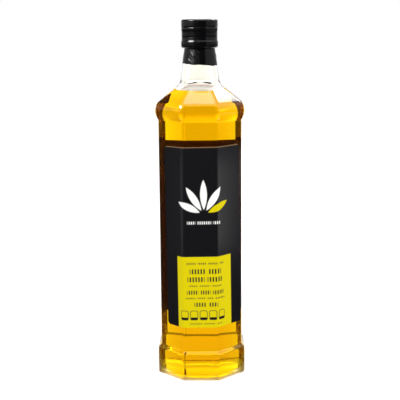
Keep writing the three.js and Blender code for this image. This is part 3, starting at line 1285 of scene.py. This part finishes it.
    def front_layers(self, s: np.ndarray, t: np.ndarray) -> list[tuple[str, np.ndarray]]:
        """Inks of the front label in the order they are printed: a fan of leaves over a lime field.

        Args:
            s: Places across.
            t: Places up.

        Returns:
            Hex colours, each with its share of ink.
        """
        fan_x, fan_z = self.fan_middle
        field_x = self.field_middle[0]
        badge_x, badge_z = self.first_badge
        last_lean = max(self.leaves)[0]
        under_seed = 1
        rows_seed = 10
        foot_seed = 30
        fan = []
        for lean, length in self.leaves:
            ahead = math.radians(lean)
            foot = (fan_x + self.fan_hollow * math.sin(ahead), fan_z + self.fan_hollow * math.cos(ahead))
            ink = self.lime if lean == last_lean else self.white
            fan.append((ink, self.leaf(s, t, foot, lean, length, self.leaf_width)))
        under = (self.white, self.words(s, t, (fan_x, 90.0), (30.0, 2.4), 1.8, under_seed))
        field_ink = (self.lime, self.box(s, t, self.field_middle, self.field_size))
        rows = [
            (self.black, self.words(s, t, (field_x, up), (width, height), pitch, rows_seed + place))
            for place, (up, width, height, pitch) in enumerate(self.print_rows)
        ]
        badges = [
            (self.black, self.badge(s, t, (badge_x + self.badge_step * place, badge_z)))
            for place in range(self.badges)
        ]
        foot_row = (self.black, self.words(s, t, (field_x, 3.4), (30.0, 1.0), 1.6, foot_seed))
        # A light brown band printed along the upper edge of the front label.
        cut = (self.top_band, self.cover(np.max(t) - self.top_band_height - t))
        return [*fan, under, field_ink, *rows, *badges, foot_row, cut]

    def colours(self, side: Side, s: np.ndarray, t: np.ndarray) -> np.ndarray:
        """Prints every layer over the black ground.

        Args:
            side: Which label.
            s: Places across.
            t: Places up.

        Returns:
            Linear RGBA at each place.
        """
        colours = np.broadcast_to(np.array(linear(self.black)), (*s.shape, 4)).copy()
        layers = self.front_layers(s, t) if side is Side.FRONT else self.back_layers(s, t)
        for ink, share in layers:
            colours += share[..., None] * (np.array(linear(ink)) - colours)
        return colours


@dataclass
class WrapLabel:
    """Paper label glued round three faces of the panel.

    Attributes:
        form: Sizes of the glass.
        side: Face of the bottle that its middle lies on.
        node: Solid that it stands for.
        slot: Material slot of the label; not used.
        width: Width of the flat sheet.
        reverse: Colour of its back, seen through the glass, sRGB hex.
        centre: Distance of its middle from the middle of the face, to the right.
        tilt_degrees: How far it is askew.
        bottom_z: Height of its lower edge.
        top_z: Height of its upper edge.
        sink: How far its back reaches into the glass, so that no air gap shows.
        lift: Distance of its face from the glass.
        corner: Radius of its corners.
        corner_steps: Columns round each corner.
        bend_radius: Radius at which it bends round the bottle's corners.
        mesh_step: Distance between points of its face.
        back_rows: Rows down its back.
        sharp_degrees: Bend from which an edge is shaded sharp.
        art: Print.
        finish: Look of the paper.
    """

    form: BottleForm
    side: Side
    node: str
    slot: str
    width: float
    reverse: str
    centre: float = 0.0
    tilt_degrees: float = 0.0
    bottom_z: float = 46.7
    top_z: float = 199.6
    sink: float = 0.02
    lift: float = 0.4
    corner: float = 3.0
    corner_steps: int = 6
    bend_radius: float = 5.0
    mesh_step: float = 0.42
    back_rows: int = 9
    sharp_degrees: float = 40.0
    art: LabelArt = field(default_factory=LabelArt)
    finish: PrintedPaper = field(default_factory=PrintedPaper)

    def panel_points(self, along: np.ndarray, lift: float, z: np.ndarray) -> np.ndarray:
        """Wraps places round the panel: along flats and corner arcs in turn, lifted along the normal.

        Args:
            along: Distances round the panel from the middle of the label's face.
            lift: Distance from the glass.
            z: Heights.

        Returns:
            Points, shaped as the places.
        """
        radius = self.bend_radius
        inradius = self.form.panel_width / 2.0
        flat = 2.0 * (inradius - radius) * math.tan(SIDE_ANGLE / 2.0)
        period = flat + radius * SIDE_ANGLE
        face = np.floor((along + flat / 2.0) / period)
        rest = along + flat / 2.0 - face * period
        facing = (face + self.side.value) * SIDE_ANGLE
        outward = facing + np.maximum(rest - flat, 0.0) / radius
        across = np.minimum(rest, flat) - flat / 2.0
        deep = inradius - radius
        x = deep * np.sin(facing) + across * np.cos(facing) + (radius + lift) * np.sin(outward)
        y = -deep * np.cos(facing) + across * np.sin(facing) - (radius + lift) * np.cos(outward)
        return np.stack((x, y, z), axis=-1)

    def sheet_points(self, across: np.ndarray, up: np.ndarray, lift: float) -> np.ndarray:
        """Places of the flat sheet, turned by the tilt and wrapped round the panel.

        Args:
            across: Distances from the sheet's middle to the right, one for each column.
            up: Distances from its middle upwards, as rows and columns.
            lift: Distance from the glass.

        Returns:
            Points as rows, columns and coordinates.
        """
        tilt = math.tan(math.radians(self.tilt_degrees))
        z = (self.top_z + self.bottom_z) / 2.0 + up + across * tilt
        return self.panel_points(self.centre + across - up * tilt, lift, z)

    def build(self) -> bpy.types.Object:
        """Bends a thin closed sheet with rounded corners round the panel and prints its outer face.

        The sheet is a loop, up the face and down the back, carried across the label. Near the
        ends each column is shortened by the corner's circle. The whole is turned by the tilt.

        Returns:
            The label, standing for its solid.
        """
        half = (self.top_z - self.bottom_z) / 2.0
        columns = int(round(self.width / self.mesh_step)) + 1
        rows = int(round(2.0 * half / self.mesh_step)) + 1
        quarter = np.linspace(0.0, math.pi / 2.0, self.corner_steps + 1)
        ease = self.corner * (1.0 - np.cos(quarter))[:-1]
        inside = np.linspace(self.corner, self.width - self.corner, columns)
        station = np.concatenate((ease, inside, self.width - ease[::-1])) - self.width / 2.0
        short = np.maximum(self.corner - (self.width / 2.0 - np.abs(station)), 0.0)
        reach = half - self.corner + np.sqrt(np.maximum(self.corner ** 2 - short ** 2, 0.0))
        up = np.linspace(-1.0, 1.0, rows)[:, None] * reach[None, :]
        down = np.linspace(1.0, -1.0, self.back_rows)[:, None] * reach[None, :]
        face = self.sheet_points(station, up, self.lift)
        points = np.concatenate((face, self.sheet_points(station, down, -self.sink)))
        total, wide = points.shape[:2]
        sheet = skin(total, wide, close_rows=True, close_columns=False)
        loop = np.arange(total) * wide
        slots = np.full(len(sheet) + 2, PaperFace.SHEET)
        slots[(rows - 1) * (wide - 1):rows * (wide - 1)] = PaperFace.EDGE
        slots[(total - 1) * (wide - 1):len(sheet)] = PaperFace.EDGE
        materials = [
            self.finish.material(f"{self.node}_coated_paper", "ink"),
            self.finish.edge_material(f"{self.node}_paper_edge"),
        ]
        faces = [*sheet.tolist(), loop.tolist(), (loop[::-1] + wide - 1).tolist()]
        made = mesh_object(f"{self.node}_sheet", points.reshape(-1, 3), faces, materials, slots)
        made.data.set_sharp_from_angle(angle=math.radians(self.sharp_degrees))
        ink = made.data.color_attributes.new("ink", "FLOAT_COLOR", "POINT")
        printed = self.art.colours(self.side, np.broadcast_to(station, up.shape), up + half)
        plain = np.broadcast_to(np.array(linear(self.reverse)), (*down.shape, 4))
        ink.data.foreach_set("color", np.concatenate((printed, plain)).astype(np.float32).ravel())
        return stand_for(made, self.node)


# Studio

class SeenBy(Enum):
    """What a studio screen shows in: reflections, the view through glass, the light on matt things."""

    REFLECTIONS = (True, False, False)
    GLASS = (False, True, False)
    SHINE = (True, True, False)
    MATT = (False, False, True)
    ALL = (True, True, True)


@dataclass(frozen=True)
class Screen:
    """Lit or black screen of the studio, which the camera itself doesn't see.

    Attributes:
        name: Name of the screen.
        radiance: Light that it gives; 0 for black.
        seen_by: What it shows in.
    """

    name: str
    radiance: float
    seen_by: SeenBy

    def raise_up(self, points: np.ndarray, light: np.ndarray | float = 1.0) -> bpy.types.Object:
        """Makes the screen from a grid of points, each with its own share of the radiance.

        Args:
            points: Points in metres, as rows, columns and coordinates.
            light: Share of the radiance at every point, or one share for all.

        Returns:
            The screen, marked as part of the stage.
        """
        material, tree, output = start_material(self.name)
        light_here = add_node(tree, "ShaderNodeAttribute", attribute_name="light")
        glow = add_node(tree, "ShaderNodeEmission", {
            "Color": linear("FFFFFF"), "Strength": light_here.outputs["Fac"],
        })
        tree.links.new(glow.outputs["Emission"], output.inputs["Surface"])
        rows, columns = points.shape[:2]
        faces = skin(rows, columns, close_columns=False).tolist()
        screen = mesh_object(self.name, points.reshape(-1, 3) / METRES, faces, [material])
        radiance = np.broadcast_to(self.radiance * light, (rows, columns)).astype(np.float32)
        screen.data.attributes.new("light", "FLOAT", "POINT").data.foreach_set("value", radiance.ravel())
        screen.visible_camera = False
        screen.visible_shadow = False
        screen.visible_glossy, screen.visible_transmission, screen.visible_diffuse = self.seen_by.value
        return screen


@dataclass(frozen=True)
class SoftBox(Screen):
    """Flat lit rectangle that faces the bottle and fades towards its rim.

    Attributes:
        direction: Where it stands, seen from the aim.
        distance: Its distance from the aim, in metres.
        size: Width and height, in metres.
        fade: Share of each half over which the light fades out.
        points: Points along each side.
    """

    direction: tuple[float, float, float]
    distance: float
    size: tuple[float, float]
    fade: float = 0.25
    points: int = 17

    def build(self, aim: Vector) -> bpy.types.Object:
        """Sets the box up, square to the line to the bottle.

        The light is the product of two ramps, one from the rim inwards in each direction.

        Args:
            aim: Point that the box faces.

        Returns:
            The box.
        """
        away = Vector(self.direction).normalized()
        turn = np.array(away.to_track_quat("Z", "Y").to_matrix())
        place = np.linspace(-1.0, 1.0, self.points)
        ramp = np.clip((1.0 - np.abs(place)) / self.fade, 0.0, 1.0)
        across, up = np.meshgrid(place * self.size[0] / 2.0, place * self.size[1] / 2.0)
        flat = np.stack((across, up, np.zeros_like(up)), axis=-1)
        return self.raise_up(flat @ turn.T + np.array(aim + away * self.distance), ramp[:, None] * ramp)


@dataclass(frozen=True)
class Sweep(Screen):
    """Screen bent round the bottle's axis.

    Attributes:
        section: Distances from the axis with heights, in metres.
        start: First angle in degrees, from the front towards the right.
        stop: Last angle in degrees.
        steps: Steps round the arc.
    """

    section: tuple[tuple[float, float], ...]
    start: float
    stop: float
    steps: int = 48

    def build(self) -> bpy.types.Object:
        """Carries the section along an arc round the axis.

        Returns:
            The sweep.
        """
        section = np.array(self.section)
        angle = np.radians(np.linspace(self.start, self.stop, self.steps + 1))
        radius = section[:, 0][:, None]
        height = np.broadcast_to(section[:, 1][:, None], (len(section), len(angle)))
        return self.raise_up(np.stack((radius * np.sin(angle), -radius * np.cos(angle), height), axis=-1))


@dataclass(frozen=True)
class Patch:
    """Brighter or darker patch of a backdrop.

    Attributes:
        degrees: Its middle, from straight behind towards the right.
        z: Height of its middle, in metres.
        half_degrees: Its half width.
        half_z: Its half height.
        gain: Share of light that it adds in its middle; below zero where it is darker.
    """

    degrees: float
    z: float
    half_degrees: float
    half_z: float
    gain: float

    def light(self, degrees: np.ndarray, z: np.ndarray) -> np.ndarray:
        """Light that it adds: a bell curve in each direction that falls to 1/e at the half width.

        Args:
            degrees: Places sideways.
            z: Heights.

        Returns:
            Share of light at each place.
        """
        sideways = (degrees - self.degrees) / self.half_degrees
        upwards = (z - self.z) / self.half_z
        return self.gain * np.exp(-sideways ** 2 - upwards ** 2)


@dataclass(frozen=True)
class Backdrop(Screen):
    """Bent white backdrop beyond the bottle, unevenly lit.

    Attributes:
        radius: Its distance from the axis, in metres.
        height: Its height, in metres.
        half_degrees: Half of the angle it spans.
        patches: Where it is brighter or darker.
        points: Points along each side.
    """

    radius: float
    height: float
    half_degrees: float
    patches: tuple[Patch, ...]
    points: int = 49

    def build(self) -> bpy.types.Object:
        """Bends the backdrop round the axis and adds up the light of its patches.

        Returns:
            The backdrop.
        """
        degrees = np.linspace(-self.half_degrees, self.half_degrees, self.points)[None, :]
        z = np.linspace(0.0, self.height, self.points)[:, None]
        angle = np.radians(degrees)
        bent = np.broadcast_arrays(self.radius * np.sin(angle), self.radius * np.cos(angle), z)
        light = 1.0 + sum(patch.light(degrees, z) for patch in self.patches)
        return self.raise_up(np.stack(bent, axis=-1), light)


@dataclass(frozen=True)
class Pool:
    """Pool of light on the floor.

    Attributes:
        place: Its middle on the floor, in metres.
        reach: Distance at which it has faded out.
        gain: Light that it adds in its middle.
    """

    place: tuple[float, float]
    reach: float
    gain: float


@dataclass
class Studio:
    """Pale lit floor, white surroundings, soft boxes, dark screens and the camera."""

    aim: tuple[float, float, float] = (0.0, 0.0, 0.15)
    floor_radius: float = 4.0
    floor_sides: int = 64
    floor_gap: float = 0.0005
    floor_glow: float = 0.9
    floor_colour: str = "7C7C7C"
    floor_pools: tuple[Pool, ...] = (Pool((0.55, 1.15), 1.1, 0.9), Pool((0.16, 0.36), 0.2, 0.9))
    surround: float = 1.0
    lens: float = 85.5
    sensor: float = 36.0
    camera_place: tuple[float, float, float] = (-0.000665, -0.8032, 0.2954)
    camera_down: float = 10.2865
    camera_round: float = 1.1946
    camera_roll: float = -0.4516
    bounces: int = 32
    glossy_bounces: int = 16
    soft_boxes: tuple[SoftBox, ...] = (
        SoftBox("soft_box_back_right", 16.0, SeenBy.ALL, (0.379, 0.607, 0.7), 1.3, (0.318, 0.5), 0.34),
        SoftBox("soft_box_overhead", 4.5, SeenBy.ALL, (0.0, 0.17, 0.99), 1.2, (0.6, 0.6)),
        SoftBox("soft_box_front_left", 22.0, SeenBy.SHINE, (-0.62, -0.55, 0.58), 1.2, (1.3, 0.4)),
        SoftBox("soft_box_fill", 3.6, SeenBy.MATT, (0.3, -0.6, 0.75), 1.4, (1.0, 1.0)),
    )
    side_screens: tuple[Sweep, ...] = (
        Sweep("grey_wall_right_low", 0.5, SeenBy.REFLECTIONS, ((0.9, 0.002), (0.9, 0.085)), 43.0, 150.0),
        Sweep("dark_wall_right", 0.03, SeenBy.REFLECTIONS, ((0.9, 0.085), (0.9, 0.27)), 43.0, 150.0),
        Sweep("grey_wall_right", 0.4, SeenBy.REFLECTIONS, ((0.9, 0.27), (0.9, 0.6)), 43.0, 150.0),
        Sweep("dark_wall_left", 0.03, SeenBy.REFLECTIONS, ((0.9, 0.002), (0.9, 0.27)), -150.0, -43.0),
        Sweep("grey_wall_left", 0.45, SeenBy.REFLECTIONS, ((0.9, 0.27), (0.9, 0.42)), -150.0, -43.0),
        Sweep("grey_wall_left_high", 0.3, SeenBy.REFLECTIONS, ((0.9, 0.42), (0.9, 0.6)), -150.0, -43.0),
        Sweep("dark_wall_left_high", 0.06, SeenBy.REFLECTIONS, ((0.9, 0.6), (0.9, 1.8)), -160.0, -75.0),
        # Painted shadow: dark discs just under the bottle, seen only through the glass, stand for the
        # bottle's shadow on the glowing floor. They are lighter behind than in front.
        Sweep("foot_shadow_back", 0.5, SeenBy.GLASS, ((0.0, -0.0002), (0.044, -0.0002)), 112.5, 247.5, 3),
        Sweep("foot_shadow_front", 0.15, SeenBy.GLASS, ((0.0, -0.0002), (0.044, -0.0002)), -112.5, 112.5, 5),
    )
    camera_screens: tuple[Screen, ...] = (
        Sweep("dark_table", 0.04, SeenBy.REFLECTIONS, ((0.041, 0.0004), (4.0, 0.0004)), -130.0, 130.0),
        Sweep("lens_shade", 0.0, SeenBy.REFLECTIONS, ((0.46, 0.01), (0.46, 0.64)), -42.0, 42.0),
        Sweep("dark_front_ceiling", 0.0, SeenBy.REFLECTIONS, ((0.12, 1.15), (0.36, 1.15)), -60.0, 60.0),
        Sweep("label_light_left", 0.6, SeenBy.REFLECTIONS, ((0.12, 0.09), (0.12, 0.178)), -70.0, -45.0),
        Sweep("label_light_right", 1.2, SeenBy.REFLECTIONS, ((0.12, 0.09), (0.12, 0.178)), 45.0, 76.0),
        Sweep("cap_light", 1.1, SeenBy.REFLECTIONS, ((0.12, 0.345), (0.12, 0.42)), -20.0, 100.0),
        Sweep("dark_surround", 0.12, SeenBy.GLASS, (
            (0.045, 0.001), (0.25, 0.001), (0.45, 0.001), (0.45, 0.12), (0.45, 0.18),
        ), -130.0, 130.0),
        Sweep("dark_front_wall", 0.14, SeenBy.GLASS, ((0.45, 0.18), (0.45, 0.6)), -85.0, 85.0),
        Backdrop("backdrop", 1.03, SeenBy.GLASS, 1.2, 1.3, 52.0, (
            Patch(20.0, 0.04, 11.0, 0.2, 0.5),
            Patch(-22.0, 0.33, 11.0, 0.3, 0.4),
            Patch(0.0, 0.2, 60.0, 0.06, 0.15),
            Patch(0.0, 0.28, 60.0, 0.04, -0.2),
            Patch(0.0, 0.365, 60.0, 0.022, 0.7),
            Patch(0.0, 0.48, 60.0, 0.08, 0.5),
            Patch(0.0, 0.8, 80.0, 0.35, 0.55),
        )),
    )

    def floor(self) -> bpy.types.Object:
        """Round floor, partly lit from below and brighter in pools behind the bottle.

        A pool's light falls as a smooth step from its middle to its reach.

        Returns:
            The floor.
        """
        angle = np.linspace(0.0, 2.0 * math.pi, self.floor_sides, endpoint=False)
        rim = self.floor_radius * np.stack((np.cos(angle), np.sin(angle), np.zeros_like(angle)), axis=-1)
        rim[:, 2] = -self.floor_gap
        material, tree, output = start_material("pale_floor")
        place = add_node(tree, "ShaderNodeTexCoord")
        strength = self.floor_glow
        for pool in self.floor_pools:
            away = add_node(tree, "ShaderNodeVectorMath", {
                0: place.outputs["Object"], 1: (*pool.place, 0.0),
            }, operation="DISTANCE")
            fading = add_node(tree, "ShaderNodeMapRange", {
                "Value": away.outputs["Value"], "From Min": 0.0, "From Max": pool.reach,
                "To Min": pool.gain, "To Max": 0.0,
            }, interpolation_type="SMOOTHSTEP")
            strength = add_node(tree, "ShaderNodeMath", {
                0: strength, 1: fading.outputs["Result"],
            }).outputs["Value"]
        matt = add_node(tree, "ShaderNodeBsdfDiffuse", {"Color": linear(self.floor_colour)})
        glow = add_node(tree, "ShaderNodeEmission", {"Strength": strength})
        both = add_node(tree, "ShaderNodeAddShader", {0: matt.outputs["BSDF"], 1: glow.outputs["Emission"]})
        tree.links.new(both.outputs["Shader"], output.inputs["Surface"])
        floor = mesh_object("pale_floor", rim / METRES, [list(range(len(angle)))], [material])
        return floor

    def surroundings(self) -> None:
        """Even white all round."""
        world = bpy.data.worlds.new("white_tent")
        world.use_nodes = True
        world.node_tree.nodes.clear()
        output = add_node(world.node_tree, "ShaderNodeOutputWorld")
        white = add_node(world.node_tree, "ShaderNodeBackground", {
            "Color": linear("FFFFFF"), "Strength": self.surround,
        })
        world.node_tree.links.new(white.outputs["Background"], output.inputs["Surface"])
        bpy.context.scene.world = world

    def camera(self) -> bpy.types.Object:
        """Camera in front, a little above the cap's foot, looking down at the middle of the bottle.

        Returns:
            The camera.
        """
        lens = bpy.data.cameras.new("camera")
        lens.lens = self.lens
        lens.sensor_width = self.sensor
        camera = bpy.data.objects.new("camera", lens)
        bpy.context.scene.collection.objects.link(camera)
        round_axis = Matrix.Rotation(math.radians(self.camera_round), 4, "Z")
        tip = Matrix.Rotation(math.radians(90.0 - self.camera_down), 4, "X")
        roll = Matrix.Rotation(math.radians(self.camera_roll), 4, "Z")
        camera.matrix_world = round_axis @ Matrix.Translation(self.camera_place) @ tip @ roll
        bpy.context.scene.camera = camera
        return camera

    def turntable(self, camera: bpy.types.Object) -> bpy.types.Object:
        """Upright turntable on the bottle's axis that always turns its front towards the camera.

        Args:
            camera: The camera.

        Returns:
            The turntable.
        """
        turntable = bpy.data.objects.new("screen_turntable", None)
        bpy.context.scene.collection.objects.link(turntable)
        follow = turntable.constraints.new("LOCKED_TRACK")
        follow.target = camera
        follow.track_axis = "TRACK_NEGATIVE_Y"
        follow.lock_axis = "LOCK_Z"
        return turntable

    def build(self) -> None:
        """Sets up the floor, the light, the screens, the camera and the exposure.

        The camera's own screens, black round the lens and white beyond the bottle, go round with
        it, so that from every side the oil glows and the edges of the glass are drawn dark.
        """
        self.floor()
        self.surroundings()
        for box in self.soft_boxes:
            box.build(Vector(self.aim))
        for screen in self.side_screens:
            screen.build()
        turntable = self.turntable(self.camera())
        for screen in self.camera_screens:
            screen.build().parent = turntable
        scene = bpy.context.scene
        scene.view_settings.view_transform = "Standard"
        scene.cycles.max_bounces = self.bounces
        scene.cycles.transmission_bounces = self.bounces
        scene.cycles.glossy_bounces = self.glossy_bounces


def main() -> None:
    """Builds every piece in order, then the studio, and reports each piece."""
    logging.basicConfig(level=logging.INFO, format="%(message)s")
    form = BottleForm()
    pieces = (
        GlassBottle(form),
        OilFill(form),
        ScrewCap(),
        NeckSleeve(form),
        WrapLabel(
            form, Side.FRONT, "front_label", "front_print",
            width=75.0, reverse="C4BBAA", centre=3.1, tilt_degrees=0.8,
        ),
        WrapLabel(form, Side.BACK, "back_label", "back_print", width=72.0, reverse="8E8476"),
    )
    for piece in pieces:
        made = piece.build()
        LOG.info("%s: %d faces", made.name, len(made.data.polygons))
    Studio().build()


if __name__ == "__main__":
    main()
